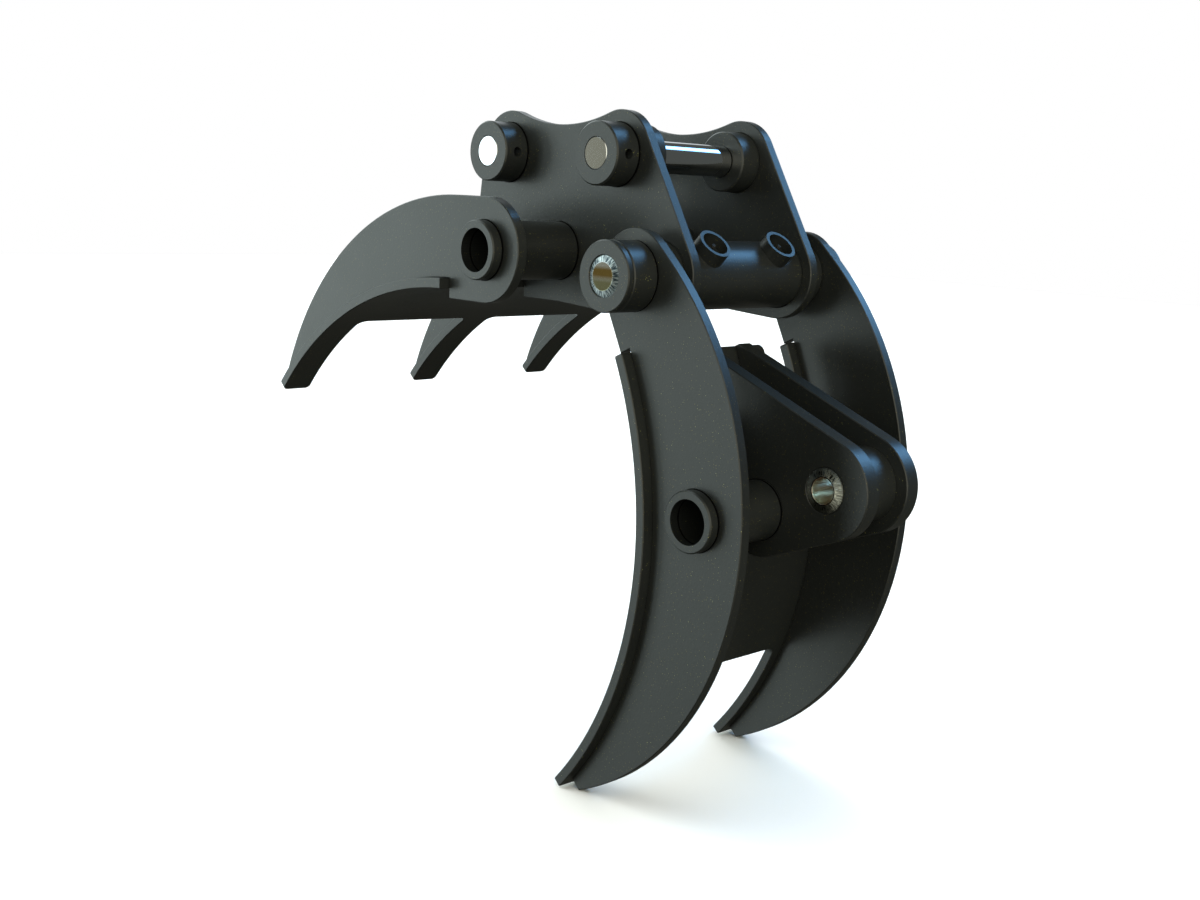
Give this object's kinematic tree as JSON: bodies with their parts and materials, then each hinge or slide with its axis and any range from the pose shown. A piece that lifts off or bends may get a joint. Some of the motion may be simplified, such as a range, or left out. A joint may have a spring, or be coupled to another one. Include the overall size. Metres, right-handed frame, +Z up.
{
  "type": "mini excavator grapple",
  "caption": "Mechanical log grapple for a mini excavator: pinned head with a fixed fingered jaw and a hinged fingered jaw with lugs for a stay arm.",
  "frame": {"origin": "axis of the rear ear pin, which carries the dipper, at the middle of the width", "axes": "+X toward the machine, +Z up with both ear pins level, +Y to the operator's right along the pins"},
  "size_m": [1.0349, 0.57, 0.9637],
  "materials": {
    "head_paint": "satin",
    "jaw_paint": "satin",
    "pin_chrome": "polished",
    "bush_steel": "turned",
    "nipple_steel": "zinc plated"
  },
  "bodies": {
    "head": {"head_plate_left": "head_paint", "head_plate_right": "head_paint", "ear_boss_front_left": "head_paint", "ear_boss_front_right": "head_paint", "ear_boss_rear_left": "head_paint", "ear_boss_rear_right": "head_paint", "pivot_tube": "head_paint", "grease_guard_left": "head_paint", "grease_guard_right": "head_paint", "fixed_cross_tube": "head_paint", "fixed_web_left": "head_paint", "fixed_web_middle": "head_paint", "fixed_web_right": "head_paint", "fixed_rolled_plate": "head_paint", "ear_pin_front": "pin_chrome", "ear_pin_rear": "pin_chrome", "pivot_bush_left": "bush_steel", "pivot_bush_right": "bush_steel", "grease_nipple_left": "nipple_steel", "grease_nipple_right": "nipple_steel"},
    "hinged_jaw": {"hinged_web_left": "jaw_paint", "hinged_web_right": "jaw_paint", "hinged_cross_tube": "jaw_paint", "hinged_rolled_plate": "jaw_paint", "pivot_hub_left": "jaw_paint", "pivot_hub_right": "jaw_paint", "pivot_collar_left": "jaw_paint", "pivot_collar_right": "jaw_paint", "pivot_pin": "pin_chrome", "stay_lug_left": "jaw_paint", "stay_lug_right": "jaw_paint", "stay_spacer": "jaw_paint", "stay_bush": "bush_steel"}
  },
  "joints": [
    {"name": "jaw_hinge", "type": "hinge", "parent": "head", "child": "hinged_jaw", "pos_m": [0.09, 0, -0.1585], "axis": [0, 1, 0], "range_deg": [-40, 72]}
  ]
}
